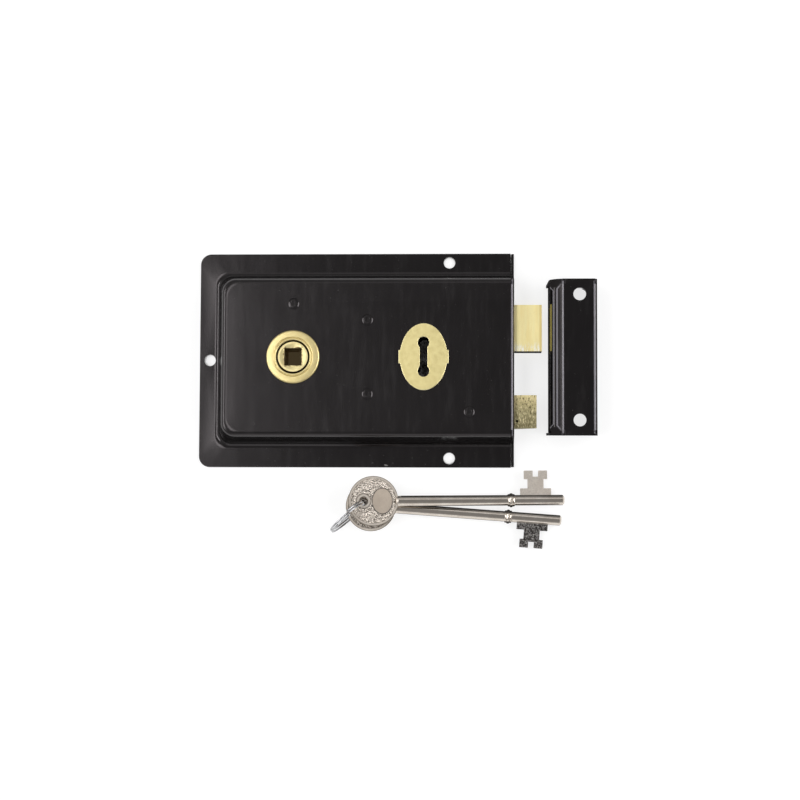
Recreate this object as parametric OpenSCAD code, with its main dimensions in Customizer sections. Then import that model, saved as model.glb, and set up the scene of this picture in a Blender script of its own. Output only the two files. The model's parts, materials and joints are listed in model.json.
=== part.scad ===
// Rim box lock, 6 x 4 in, with its box keep and two keys on a split ring.
// Millimetres. The lock lies on its back: z = 0 is the door face, +X points to the forend and the
// bolts, +Y to the top of the door, +Z into the room. The origin is the middle of the case's back.

/* [Case] */
// Width of the case, left flange to forend
case_w = 152; // [150:0.5:158]
// Height of the case over both flanges
case_h = 103.5; // [102:0.5:110]
// Depth of the case, door face to raised face
case_d = 19; // [18.5:0.25:20.5]
// Steel sheet of the case, back plate and keep
sheet = 1.2; // [1:0.1:1.3]
// Left edge of the case to the edge of the raised face
flange_left = 12.9; // [12:0.1:14]
// Top or bottom edge of the case to the edge of the raised face
flange_side = 14.3; // [13.6:0.1:15.4]
// Lean of the pan walls in degrees
draft = 10; // [7:0.5:12]
// Radius of the pan's top edge and of the fillet at its foot
pan_r = 3; // [2.4:0.1:3.3]
// Plan radius of the raised face's corners
pan_corner = 6.6; // [5:0.2:8]
// Plan radius of the pan's corners at the flange
foot_corner = 5.8; // [5:0.2:8]
// Rise of the raised face's shallow crown
crown = 0.12; // [0.05:0.01:0.2]
// Plan radius of the flange's corners
flange_corner = 5.2; // [3:0.2:8]
// Slit between the flange ends and the forend
slit = 0.4; // [0.3:0.05:0.6]
// Diameter of the three fixing holes
screw_hole_d = 5.6; // [4.5:0.1:6]
// Right-hand fixing holes, distance from the forend
screw_backset = 31.1; // [29:0.1:36]
// Right-hand fixing holes, distance in from the flange edge
screw_inset = 4.35; // [4:0.05:4.8]
// Depth of the dents in the pan walls that clear the screw heads
screw_dent = 0.5; // [0.3:0.05:0.6]

/* [Handle side] */
// Left edge of the case to the middle of the spindle
spindle_inset = 47; // [45:0.5:49]
// Square of the spindle hole
spindle_sq = 8.1; // [7:0.1:8.6]
// Diameter of the follower's bearing ends
journal_d = 15.7; // [15:0.1:16]
// Diameter of the follower's face seen in the rose
hub_face_d = 14.5; // [13.5:0.1:14.6]
// Diameter of the brass rose
rose_d = 25.4; // [24.4:0.1:28]
// Height of the rose above the case
rose_t = 1.4; // [1.1:0.1:1.8]

/* [Bolts] */
// Travel of the deadbolt
bolt_throw = 13.1; // [11:0.1:13.5]
// Travel of the latch
latch_throw = 10.6; // [9:0.1:11]
// Thickness of both bolt heads
bolt_t = 9.5; // [9:0.25:10]
// Lower edge of the deadbolt
bolt_y0 = 3.1; // [2.5:0.1:4.5]
// Upper edge of the deadbolt
bolt_y1 = 25.3; // [24.8:0.1:26.5]
// Lower edge of the latch
latch_y0 = -33.5; // [-34:0.1:-32]
// Upper edge of the latch
latch_y1 = -17.8; // [-18.8:0.1:-17]
// Radius at which the follower drives the latch
horn_r = 16.5; // [16:0.1:17]

/* [Key and levers] */
// Forend to the middle of the keyhole
key_backset = 42.9; // [42.5:0.1:45]
// Half the distance between the keyhole's two round ends
key_off = 6.77; // [6.5:0.01:7]
// Diameter of the keyhole's round ends
keyhole_d = 5.4; // [5.2:0.1:5.8]
// Width of the keyhole's slot
keyhole_slot = 3.5; // [3.2:0.1:3.8]
// Reach of the key bit from the middle of its shank
bit_reach = 14.1; // [13.7:0.1:14.4]
// Thickness of a lever
lever_t = 2; // [1.6:0.1:2.2]
// Lift of a lever in degrees when the key passes
lever_lift = 6.35; // [5.5:0.05:6.6]
// Diameter of the key shank
shank_d = 5; // [4.4:0.05:5.1]
// Diameter of the key bow
bow_d = 23.8; // [22:0.1:24.2]
// Thickness of the key bow
bow_t = 2.2; // [1.8:0.1:2.3]
// Length of a key from the hole in its bow to its tip
key_len = 95.8; // [93:0.2:98]

/* [Escutcheon] */
// Width of the oval escutcheon
esc_w = 22.6; // [22:0.1:24]
// Height of the oval escutcheon
esc_h = 31.9; // [30:0.1:34]
// Height of the escutcheon above the case
esc_t = 1.4; // [1.1:0.1:1.8]

/* [Keep] */
// Gap between forend and keep as the set is laid out
keep_gap = 16.4; // [14.8:0.1:24]
// Width of the keep
keep_w = 22.8; // [21:0.1:25]
// Height of the keep over its end walls
keep_h = 74.5; // [72:0.5:78]
// End of the keep to its screw hole
keep_hole_inset = 7.35; // [6.8:0.05:9]
// Diameter of the keep's screw holes
keep_hole_d = 6; // [5:0.1:6.4]

/* [Key ring] */
// Radius of the split ring, middle of its wire
ring_r = 10.3; // [10:0.05:10.6]
// Wire of the split ring
ring_wire = 0.65; // [0.55:0.05:0.7]

/* [Hidden] */
$fn = 64;
hw = case_w / 2;
hh = case_h / 2;
mid_z = case_d / 2;
run_fit = 0.1;
slide_fit = 0.3;
seat_fit = 0.03;
tail_t = 2.5;
lever_gap = 0.25;
post_d = 6;
inner_z0 = sheet;
inner_z1 = case_d - sheet;
pan_x = -hw + flange_left;
pan_y = hh - flange_side;
wall_end = hw - sheet - slit;
fold_r = sheet + slit;
crown_w = 9;
crown_tilt = atan(2 * crown / crown_w);
edge_z = case_d - crown;
top_run = pan_r * tan((90 - draft) / 2);
arc_top = [-top_run, edge_z - pan_r];
arc_foot = [(pan_r + sin(draft) * (edge_z - sheet - pan_r)) / cos(draft), sheet + pan_r];
fold_half = pan_y - top_run - 0.3;
ear_h = 2;

// Straight part of a pan wall: where it leaves the top edge's radius
wall_z = edge_z - pan_r + pan_r * sin(draft);
wall_y = pan_y - top_run + pan_r * cos(draft);

// Centres of the follower, the keyhole ends, the four posts and the fixing holes
fx = -hw + spindle_inset;
kx = hw - key_backset;
post_back = 26.7;
post_up = 17.6;
spring_post_up = 25.4;
guide_back = 21.3;
guide_down = 26.1;
p1 = [fx + 0.2, spring_post_up];
p1_d = 5;
p2 = [kx - post_back, post_up];
p3 = [kx - post_back, -post_up];
p4 = [hw - guide_back, -guide_down];
p4_d = 4;
screw_x = hw - screw_backset;
screw_y = hh - screw_inset;
stake_r = 2.7;
stake_neck = 1.8;
stake_rise = 0.2;
plate_screw_d = 3;
plate_screw_len = 6;
plate_head_r = 2.7;
left_screw_inset = 4.85;
left_screw_x = -hw + left_screw_inset;

// Deadbolt, talon, stump and the levers' windows
bolt_inside = 10;
bolt_back = hw - bolt_inside;
bolt_rivet_x = hw - 6;
bolt_rivet_y = [bolt_y0 + 8.4, bolt_y1 - 4.8];
tail_z = mid_z - tail_t / 2;
tail_gap = 8.65;
tail_low = key_off + tail_gap;
tail_drop = 5.6;
tail_end = 9.4;
tail_x0 = max(p2[0] - tail_end, fx + 3.6 + bolt_throw);
talon_x = kx + bolt_throw / 2;
talon_w = 3.5;
talon_reach = 17.6;
stump_out = 13.9;
stump_up = 18.7;
stump = [kx + stump_out, key_off + stump_up];
stump_w = 2.4;
stump_h = 2;
belly_lap = 2.97;
belly = key_off + bit_reach - belly_lap;
gate_out = 7.74;
gate_drop = 1.9;
gate_x = kx + gate_out;
gate_y = stump[1] - gate_drop;
gate_half = 1.85;
win_over = 0.35;
win_drop = 4.45;
win_top = stump[1] + stump_h / 2 + win_over;
win_low = stump[1] - win_drop;
lever_eye = 5.5;
lever_rim = 3.4;
front_lever_z = mid_z + tail_t / 2 + lever_gap;
rear_lever_z = mid_z - tail_t / 2 - lever_gap - lever_t;
leaf_t = 0.5;
leaf_y = p1[1] + p1_d / 2 + seat_fit;

// Latch, its yoke round the follower and its spring
latch_inside = 7;
latch_back = hw - latch_inside;
latch_rivet_x = hw - 3.6;
yoke_face = 3;
yoke_reach = 20;
yoke_bar = 4;
yoke_x0 = fx - yoke_reach;
yoke_x1 = yoke_x0 + yoke_bar;
arm_y0 = horn_r - 1.9;
arm_y1 = horn_r + 2.1;
latch_low = latch_y0 + 2.9;
latch_top = latch_y1 - 4.6;
latch_rivet_y = [latch_top - 1.8, latch_low + 2.2];
lug_back = 3;
lug_w = 4;
lug_x = kx - lug_back;
coil_x0 = p3[0] + post_d / 2 + 0.1;
coil_x1 = lug_x - 0.1;
coil_wire = 0.8;
coil_r = 2.85;
coil_turns = 9;

// Wards round the keyhole's upper end
ward_in = 6.2;
ward_out = 9.5;
ward_gap = 0.45;
bit_waist = 3.75;
ward_h = case_d / 2 - sheet - bit_waist - ward_gap;

// Key sizes and the places where the two keys and their ring lie
bow_x = 4.6;
shank_x = bow_x + bow_d / 2 - 1.4;
hole_r = 2.1;
bit_back = 13.6;
bit_x = key_len - bit_back;
bit_w = 14.7;
bit_t = 2.5;
bit_foot = 5.6;
bit_step = 10;
bit_head = 5.5;
bolt_step = 1.4;
collar_back = 27.05;
collar_x = key_len - collar_back;
collar_d = 6.8;
collar_w = 3.4;
bow_rim = 1.2;
boss_r = 3.1;
oval_w = 10;
oval_h = 12.6;
oval_x = bow_x + 4.3;
ring_dir = [-0.757, -0.653];
ring_pitch = ring_wire + 0.45;
ring_z = ring_r + ring_wire / 2 + 0.1;
bow_z2 = 5;
bow_z1 = bow_z2 + shank_d + 0.7;
lay_gap = 16.42;
lay_y = -hh - lay_gap;
key1_at = [4.43, lay_y, bow_z1];
key1_dip = asin((bow_z1 - shank_d / 2 - 0.02) / key_len);
key1_yaw = 0.6;
key2_at = [2.95, lay_y - 2, bow_z2];
key2_dip = asin((bow_z2 - collar_d / 2 - 0.05) / (collar_x + 2));
key2_yaw = -4.1;
ring_reach = ring_r - 0.24;
ring_at = [4.615 + ring_reach * ring_dir[0], lay_y - 0.756 + ring_reach * ring_dir[1], ring_z];

// Keep, placed beyond the deadbolt's end
keep_x0 = hw + keep_gap;
keep_x1 = hw + keep_gap + keep_w;
keep_lip_z = mid_z + bolt_t / 2 + 0.45;
keep_lip_in = 0.5;
keep_lip_x = keep_x0 + keep_lip_in;
keep_slope_in = 6.7;
keep_top_x = keep_x0 + keep_slope_in;
keep_nose_in = 4.1;
keep_nose_drop = 0.85;
keep_nose = [keep_x0 + keep_nose_in, case_d - keep_nose_drop];
keep_chin_in = 2.5;
keep_chin_drop = 0.72;
keep_chin = [keep_x0 + keep_chin_in, keep_nose[1] - keep_chin_drop];
keep_pierce_d = 10;
keep_hole_back = 8.3;
keep_hole_x = keep_x1 - keep_hole_back;
keep_hole_y = keep_h / 2 - keep_hole_inset;
keep_lean = 3.2;

function arc(c, r, a0, a1, n) =
    [for (i = [0:n]) c + r * [cos(a0 + (a1 - a0) * i / n), sin(a0 + (a1 - a0) * i / n)]];
function left_round(x0, x1, y, r) =
    concat([[x1, -y], [x1, y]],
           arc([x0 + r, y - r], r, 90, 180, 12),
           arc([x0 + r, -y + r], r, 180, 270, 12));
function oval(w, h, n) = [for (i = [0:n - 1]) [w / 2 * cos(i * 360 / n), h / 2 * sin(i * 360 / n)]];
// Involute flank: pushes along a line at radius r, so travel per degree stays the same
function flank(r, s, b) =
    let (t = b * PI / 180) [r * sin(b) - (s + r * t) * cos(b), r * cos(b) + (s + r * t) * sin(b)];

// Points of a round tube along a path: one ring of six points at each path point
function tube_dir(p, i) =
    let (a = p[max(i - 1, 0)], b = p[min(i + 1, len(p) - 1)], d = b - a) d / norm(d);
function tube_points(p, r, up) =
    [for (i = [0:len(p) - 1])
        let (d = tube_dir(p, i), s0 = cross(d, up), s = s0 / norm(s0), t = cross(s, d))
        for (k = [0:5]) p[i] + r * cos(60 * k) * s + r * sin(60 * k) * t];
function tube_faces(n) =
    concat([[5, 4, 3, 2, 1, 0]],
           [for (i = [0:n - 2], k = [0:5]) [i * 6 + k, i * 6 + (k + 1) % 6, (i + 1) * 6 + k]],
           [for (i = [0:n - 2], k = [0:5])
               [i * 6 + (k + 1) % 6, (i + 1) * 6 + (k + 1) % 6, (i + 1) * 6 + k]],
           [[for (k = [0:5]) (n - 1) * 6 + k]]);
function own_gap(p, skip, wire) =
    min([for (i = [0:len(p) - 1 - skip], j = [i + skip:len(p) - 1]) norm(p[i] - p[j])]) - wire;

coil_path = [for (i = [0:coil_turns * 8])
    let (f = i / (coil_turns * 8), a = i * 45)
    [coil_x0 + coil_wire / 2 + f * (coil_x1 - coil_x0 - coil_wire),
     p3[1] + coil_r * cos(a), mid_z + coil_r * sin(a)]];
ring_path = [for (i = [0:48])
    let (a = i * 15 + 100, w = (i / 48 - 0.5) * ring_pitch)
    [ring_r * cos(a), w * 2, ring_r * sin(a)]];
echo(latch_spring_gap = own_gap(coil_path, 5, coil_wire));
echo(key_ring_gap = own_gap(ring_path, 14, ring_wire));

case_shell();  // case
back_plate();
back_plate_screws();
lever_spring_post();
lever_pivot_post();
latch_spring_post();
latch_guide_post();
follower_rose();
keyhole_escutcheon();
front_ward();
rear_ward();
lever_spacers();
follower();
deadbolt_head();
deadbolt_tail();
deadbolt_stump();
deadbolt_rivets();
latch_head();
latch_tail();
latch_rivets();
latch_spring();
front_lever();
rear_lever();
front_lever_spring();
rear_lever_spring();
keep();
key_ring();
key_1();
key_2();

// Skin of the pressing from the middle of its crown down to the flange, t below the outer skin: how
// far each level lies out from the edge of the raised face, its height and its corner radius
function pan_levels(t) = concat(
    [for (i = [0:4]) let (u = i / 4)
        [-top_run - crown_w * (1 - u), case_d - crown * u * u - t, pan_corner]],
    [for (i = [0:8]) let (a = 90 - crown_tilt - (90 - crown_tilt - draft) * i / 8)
        [arc_top[0] + (pan_r - t) * cos(a), arc_top[1] + (pan_r - t) * sin(a), pan_corner - t * cos(a)]],
    [for (i = [0:8]) let (a = 180 + draft + (90 - draft) * i / 8)
        [arc_foot[0] + (pan_r + t) * cos(a), arc_foot[1] + (pan_r + t) * sin(a),
         foot_corner + t * cos(a)]]);

// Loft through the levels, closed at the top, at the bottom and at its right-hand end
module loft(levels, right) {
    rings = [for (l = levels) [for (p = left_round(pan_x - l[0], right, pan_y + l[0], l[2]))
        [p[0], p[1], l[1]]]];
    m = len(rings);
    n = len(rings[0]);
    polyhedron([for (ring = rings) for (p = ring) p],
        concat([[for (k = [n - 1:-1:0]) k], [for (k = [0:n - 1]) (m - 1) * n + k]],
               [for (i = [0:m - 2], k = [0:n - 1])
                   [i * n + k, i * n + (k + 1) % n, (i + 1) * n + (k + 1) % n, (i + 1) * n + k]]),
        convexity = 8);
}

// Raised face, three drafted walls and the flat flange round them
module pan() {
    difference() {
        union() {
            loft(concat(pan_levels(0), [[arc_foot[0], 0, foot_corner]]), wall_end);
            linear_extrude(sheet) polygon(left_round(-hw, wall_end, hh, flange_corner));
        }
        loft(concat(pan_levels(sheet), [[arc_foot[0], -1, foot_corner]]), wall_end + 1);
    }
}

// Forend folded down from the raised face, with low ears over the flange ends
module forend() {
    translate([wall_end, fold_half, case_d - fold_r]) rotate([90, 0, 0])
        linear_extrude(2 * fold_half)
            polygon(concat(arc([0, 0], fold_r, 90, 0, 8), arc([0, 0], fold_r - sheet, 0, 90, 8)));
    foot = pan_y + (edge_z - ear_h) * tan(draft);
    shoulder = pan_y + 0.2;
    side = [[hh - 0.3, 0], [hh - 0.3, ear_h], [foot, ear_h], [shoulder, case_d - fold_r - 1.2],
            [shoulder - 1.2, case_d - fold_r]];
    other = [[1.2 - shoulder, case_d - fold_r], [-shoulder, case_d - fold_r - 1.2], [-foot, ear_h],
             [0.3 - hh, ear_h], [0.3 - hh, 0]];
    translate([hw - sheet, 0, 0]) rotate([90, 0, 90]) linear_extrude(sheet)
        difference() {
            polygon(concat(side, other));
            aperture(bolt_y0, bolt_y1);
            aperture(latch_y0, latch_y1);
        }
}

module aperture(y0, y1) {
    translate([y0 - slide_fit, mid_z - bolt_t / 2 - slide_fit])
        square([y1 - y0 + 2 * slide_fit, bolt_t + 2 * slide_fit]);
}

// Double-ended keyhole, wider by the given amount all round
module keyhole_2d(more) {
    translate([kx, key_off]) circle(d = keyhole_d + 2 * more);
    translate([kx, -key_off]) circle(d = keyhole_d + 2 * more);
    translate([kx - keyhole_slot / 2 - more, -key_off]) square([keyhole_slot + 2 * more, 2 * key_off]);
}

module at_posts() {
    for (p = [p1, p2, p3, p4]) translate([p[0], p[1], 0]) children();
}

module case_shell() {
    color([0.07, 0.07, 0.075]) difference() {
        union() {
            pan();
            forend();
        }
        for (s = [-1, 1]) translate([screw_x, s * screw_y, 0]) {
            translate([0, 0, -1]) cylinder(d = screw_hole_d, h = sheet + 2);
            screw_head_dent();
        }
        translate([left_screw_x, 0, -1]) cylinder(d = screw_hole_d, h = sheet + 2);
        translate([fx, 0, inner_z1 - 1]) cylinder(d = rose_d - 5.2, h = sheet + 2);
        translate([0, 0, inner_z1 - 1]) linear_extrude(sheet + 2) keyhole_2d(0.4);
        for (s = [-1, 1])
            translate([kx + s * (esc_w / 2 - 1.2) - 0.8, -1.6, inner_z1 - 1]) cube([1.6, 3.2, sheet + 2]);
        at_posts() translate([0, 0, inner_z1 - 0.01])
            cylinder(r1 = stake_neck + seat_fit, r2 = stake_r + seat_fit, h = sheet + 0.02);
    }
}

// Tapered round, coaxial with a fixing hole, that bites into the leaning wall by the dent's depth
module screw_head_dent() {
    low = sheet + pan_r;
    top_gap = screw_y - wall_y + screw_dent;
    translate([0, 0, low])
        cylinder(r1 = top_gap - (wall_z - low) * tan(draft), r2 = top_gap, h = wall_z - low, $fn = 96);
}

module back_plate() {
    edge = arc_foot[0] - sqrt(pow(pan_r + sheet, 2) - pow(pan_r, 2)) - 0.15;
    color([0.07, 0.07, 0.075]) difference() {
        linear_extrude(sheet) difference() {
            polygon(left_round(pan_x - edge, hw - sheet - 0.2, pan_y + edge, foot_corner));
            translate([fx, 0]) circle(d = journal_d + 2 * run_fit);
            keyhole_2d(0.3);
        }
        at_posts() translate([0, 0, -0.01])
            cylinder(r1 = plate_head_r + 0.05 + seat_fit, r2 = plate_screw_d / 2 + 0.05 + seat_fit,
                     h = sheet + 0.02);
    }
}

module back_plate_screws() {
    color([0.62, 0.62, 0.63]) at_posts() difference() {
        union() {
            translate([0, 0, 0.05])
                cylinder(r1 = plate_head_r, r2 = plate_screw_d / 2 + 0.05, h = sheet - 0.05);
            translate([0, 0, sheet - 0.1]) cylinder(d = plate_screw_d, h = plate_screw_len + 0.1);
        }
        translate([-plate_head_r - 0.3, -0.4, -0.5]) cube([2 * plate_head_r + 0.6, 0.8, 1.1]);
    }
}

// Post between back plate and case: its end hammered into a low head in the face, tapped at the back
module post(d) {
    difference() {
        union() {
            translate([0, 0, inner_z0]) cylinder(d = d, h = inner_z1 - crown - inner_z0);
            rotate_extrude() polygon([[0, inner_z1 - crown - 0.01],
                [stake_neck, inner_z1 - crown - 0.01], [stake_neck, inner_z1],
                [stake_r - 0.12, case_d - 0.14], [stake_r - 0.65, case_d + stake_rise - 0.04],
                [stake_r - 1.3, case_d + stake_rise], [stake_r - 1.6, case_d + stake_rise - 0.1],
                [0, case_d + stake_rise - 0.12]]);
        }
        translate([0, 0, inner_z0 - 1])
            cylinder(d = plate_screw_d + 2 * seat_fit, h = plate_screw_len + 1.5);
    }
}

module lever_spring_post() {
    color([0.1, 0.1, 0.1]) translate([p1[0], p1[1], 0]) post(p1_d);
}

module lever_pivot_post() {
    color([0.1, 0.1, 0.1]) translate([p2[0], p2[1], 0]) post(post_d);
}

module latch_spring_post() {
    color([0.1, 0.1, 0.1]) translate([p3[0], p3[1], 0]) post(post_d);
}

module latch_guide_post() {
    color([0.1, 0.1, 0.1]) translate([p4[0], p4[1], 0]) post(p4_d);
}

// Rose clinched into the face: flange with a beaded bore outside, neck through the sheet, flare inside
module follower_rose() {
    top = case_d + rose_t;
    bore = journal_d / 2 + run_fit;
    neck = rose_d / 2 - 2.6 - seat_fit;
    bead = 0.55;
    bead_r = bore + bead;
    color([0.78, 0.62, 0.3]) translate([fx, 0, 0]) rotate_extrude()
        polygon(concat([[bore, inner_z1 - 0.8], [neck + 1.1, inner_z1 - 0.8],
                        [neck + 1.1, inner_z1 - 0.02], [neck, inner_z1 - 0.02],
                        [neck, case_d + 0.02], [rose_d / 2, case_d + 0.02]],
                       arc([rose_d / 2 - 0.9, top - 1.1], 0.9, 0, 82, 6),
                       arc([bead_r + 1.25, top - 0.7], 0.6, 82, 150, 4),
                       arc([bead_r, top - bead], bead, 10, 180, 8)));
}

module keyhole_escutcheon() {
    color([0.8, 0.66, 0.34]) {
        difference() {
            union() {
                translate([kx, 0, case_d + 0.02]) linear_extrude(esc_t - 0.02)
                    union() {
                        polygon(oval(esc_w, esc_h, 96));
                        translate([-esc_w / 2 - 0.6, -3.3]) square([esc_w + 1.2, 6.6]);
                    }
                for (s = [-1, 1])
                    translate([kx + s * (esc_w / 2 - 1.2) - 0.7, -1.5, inner_z1 - 0.7])
                        cube([1.4, 3, sheet + 1.2]);
            }
            translate([0, 0, case_d - 1]) linear_extrude(esc_t + 2) keyhole_2d(0);
        }
    }
}

// C-shaped ward, open below for the bit to enter
module ward() {
    linear_extrude(ward_h) difference() {
        circle(r = ward_out);
        circle(r = ward_in);
        translate([-2.2, -ward_out - 1]) square([4.4, ward_out + 1]);
    }
}

module front_ward() {
    color([0.45, 0.45, 0.46]) translate([kx, key_off, inner_z1 - ward_h - 0.02]) ward();
}

module rear_ward() {
    color([0.45, 0.45, 0.46]) translate([kx, key_off, inner_z0 + 0.02]) ward();
}

module lever_spacers() {
    color([0.45, 0.45, 0.46]) translate([p2[0], p2[1], 0]) {
        spacer(inner_z0 + 0.05, rear_lever_z - 0.1);
        spacer(front_lever_z + lever_t + 0.1, inner_z1 - 0.05);
    }
}

module spacer(z0, z1) {
    translate([0, 0, z0]) difference() {
        cylinder(d = post_d + 3, h = z1 - z0);
        translate([0, 0, -1]) cylinder(d = post_d + 2 * seat_fit, h = z1 - z0 + 2);
    }
}

// Follower: two bearing ends, a square through it and two horns that draw the latch back
module follower() {
    turn = latch_throw / horn_r * 180 / PI;
    right = [for (i = [0:12]) let (q = flank(horn_r, yoke_face, turn * i / 12)) [-q[0], q[1]]];
    left = [for (i = [12:-1:0]) flank(horn_r, yoke_face, turn * i / 12)];
    face_z = case_d + rose_t - 0.2;
    color([0.78, 0.62, 0.3]) translate([fx, 0, 0]) difference() {
        union() {
            translate([0, 0, 0.1]) cylinder(d = journal_d, h = inner_z1 - 0.4);
            translate([0, 0, sheet + 0.3]) cylinder(d = journal_d + 2.4, h = inner_z1 - sheet - 1.4);
            translate([0, 0, inner_z1 - 1]) cylinder(d = hub_face_d, h = face_z - inner_z1 + 1);
            for (a = [0, 180]) rotate([0, 0, a]) translate([0, 0, mid_z - 2]) linear_extrude(4)
                polygon(concat([[yoke_face, 0]], right, left, [[-yoke_face, 0]]));
        }
        translate([-spindle_sq / 2, -spindle_sq / 2, -1]) cube([spindle_sq, spindle_sq, case_d + 4]);
        translate([0, 0, face_z - 0.35]) cylinder(r1 = 4.6, r2 = 6.4, h = 0.4);
    }
}

module bolt_slot(x0, x1, y0, y1) {
    translate([x0, y0, tail_z - seat_fit]) cube([x1 - x0, y1 - y0, tail_t + 2 * seat_fit]);
}

module deadbolt_head() {
    tip = hw + bolt_throw;
    color([0.8, 0.66, 0.36]) difference() {
        translate([bolt_back, bolt_y0, mid_z - bolt_t / 2])
            cube([tip - bolt_back, bolt_y1 - bolt_y0, bolt_t]);
        bolt_slot(bolt_back - 1, hw - 1.5, bolt_y0 + 4.9, bolt_y1 - 1.2);
        for (y = bolt_rivet_y)
            translate([bolt_rivet_x, y, 0]) cylinder(d = 3 + 2 * seat_fit, h = case_d);
    }
}

module deadbolt_tail() {
    top = bolt_y1 - 1.3;
    color([0.55, 0.55, 0.56]) translate([0, 0, tail_z]) linear_extrude(tail_t) difference() {
        polygon([[tail_x0, p2[1] - tail_drop], [talon_x - talon_reach, p2[1] - tail_drop],
                 [talon_x - talon_reach, tail_low],
                 [bolt_back - 2.5, tail_low], [bolt_back - 2.5, bolt_y0 + 5], [hw - 1.6, bolt_y0 + 5],
                 [hw - 1.6, top], [stump[0] + 4, top], [stump[0] + 3, stump[1] + 2.4],
                 [stump[0] - 3, stump[1] + 2.4], [stump[0] - 4, top], [tail_x0, top]]);
        translate([p2[0], p2[1]]) circle(d = post_d + 0.2);
        translate([p2[0] + bolt_throw + 0.1, p2[1]]) circle(d = post_d + 0.2);
        translate([p2[0], p2[1] - post_d / 2 - 0.1]) square([bolt_throw + 0.1, post_d + 0.2]);
        translate([talon_x - talon_w / 2, tail_low - 1]) square([talon_w, 4.1]);
        translate(stump - [stump_w / 2 + seat_fit, stump_h / 2 + seat_fit])
            square([stump_w + 2 * seat_fit, stump_h + 2 * seat_fit]);
        for (y = bolt_rivet_y) translate([bolt_rivet_x, y]) circle(d = 3 + 2 * seat_fit);
    }
}

// Square pin through the bolt tail that the levers' gates must let pass
module deadbolt_stump() {
    color([0.6, 0.6, 0.61])
        translate([stump[0] - stump_w / 2, stump[1] - stump_h / 2, rear_lever_z - 0.3])
            cube([stump_w, stump_h, front_lever_z + lever_t - rear_lever_z + 0.6]);
}

module deadbolt_rivets() {
    color([0.72, 0.6, 0.34]) for (y = bolt_rivet_y)
        translate([bolt_rivet_x, y, mid_z - bolt_t / 2 + 0.05]) cylinder(d = 3, h = bolt_t - 0.1);
}

// Latch head, bevelled on the side that meets the keep as the door closes
module latch_head() {
    tip = hw + latch_throw;
    low = mid_z - bolt_t / 2;
    color([0.78, 0.64, 0.36]) difference() {
        translate([latch_back, latch_y1, 0]) rotate([90, 0, 0]) linear_extrude(latch_y1 - latch_y0)
            polygon([[0, low], [hw + 0.8 - latch_back, low], [tip - latch_back, low + bolt_t - 1.8],
                     [tip - latch_back, low + bolt_t], [0, low + bolt_t]]);
        bolt_slot(latch_back - 1, hw + 0.5, latch_low - 0.1, latch_top + 0.1);
        for (y = latch_rivet_y)
            translate([latch_rivet_x, y, 0]) cylinder(d = 2.4 + 2 * seat_fit, h = case_d);
    }
}

module latch_tail() {
    face = fx - yoke_face - 0.15;
    slot = p4_d + 0.2;
    color([0.55, 0.55, 0.56]) translate([0, 0, tail_z]) linear_extrude(tail_t) difference() {
        polygon([[yoke_x0, latch_low], [hw + 0.4, latch_low], [hw + 0.4, latch_top],
                 [lug_x + lug_w, latch_top], [lug_x + lug_w, p3[1] + coil_r + 1],
                 [lug_x, p3[1] + coil_r + 1],
                 [lug_x, latch_top], [yoke_x1, latch_top], [yoke_x1, -arm_y1], [face, -arm_y1],
                 [face, -arm_y0], [yoke_x1, -arm_y0], [yoke_x1, arm_y0], [face, arm_y0],
                 [face, arm_y1], [yoke_x0, arm_y1]]);
        translate(p4) circle(d = slot);
        translate(p4 + [latch_throw + 0.1, 0]) circle(d = slot);
        translate(p4 - [0, slot / 2]) square([latch_throw + 0.1, slot]);
        for (y = latch_rivet_y) translate([latch_rivet_x, y]) circle(d = 2.4 + 2 * seat_fit);
    }
}

module latch_rivets() {
    color([0.72, 0.6, 0.34]) for (y = latch_rivet_y)
        translate([latch_rivet_x, y, mid_z - bolt_t / 2 + 0.05]) cylinder(d = 2.4, h = bolt_t - 0.1);
}

module latch_spring() {
    color([0.66, 0.66, 0.68])
        polyhedron(tube_points(coil_path, coil_wire / 2, [1, 0, 0]),
                   tube_faces(len(coil_path)), convexity = 10);
}

// Lever: pivot eye, belly over the key, two pockets joined by the gate, slot for its leaf spring
module lever_2d() {
    end = stump[0] + 3.6;
    difference() {
        union() {
            translate(p2) circle(r = lever_eye);
            polygon([[p2[0] + 1, p2[1] - 5.2], [kx - 9, belly], [kx + 11, belly], [end, belly + 2],
                     [end, win_top + lever_rim], [p2[0] + 14, win_top + lever_rim],
                     [p2[0] + 9, leaf_y + 1.6],
                     [p2[0] + 1, leaf_y + 1.6], [p2[0] - 2, p2[1] + 4.6]]);
        }
        translate(p2) circle(d = post_d + 2 * run_fit);
        translate([stump[0] - bolt_throw - 1.6, win_low])
            square([gate_x + 0.6 - stump[0] + bolt_throw, win_top - win_low]);
        translate([gate_x + 1, win_low]) square([stump[0] + 1.7 - gate_x - 1, win_top - win_low]);
        translate([gate_x - 2, gate_y - gate_half]) square([4, 2 * gate_half]);
        translate([p2[0] - 5, leaf_y - seat_fit]) square([12, leaf_t + 2 * seat_fit]);
    }
}

module front_lever() {
    color([0.74, 0.6, 0.33]) translate([0, 0, front_lever_z]) linear_extrude(lever_t) lever_2d();
}

module rear_lever() {
    color([0.74, 0.6, 0.33]) translate([0, 0, rear_lever_z]) linear_extrude(lever_t) lever_2d();
}

// Leaf spring held in the lever, its free end pressing on the spring post
module leaf(z) {
    translate([p1[0] - 4, leaf_y, z + 0.2]) cube([p2[0] + 6.9 - p1[0] + 4, leaf_t, lever_t - 0.4]);
}

module front_lever_spring() {
    color([0.3, 0.32, 0.36]) leaf(front_lever_z);
}

module rear_lever_spring() {
    color([0.3, 0.32, 0.36]) leaf(rear_lever_z);
}

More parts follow.
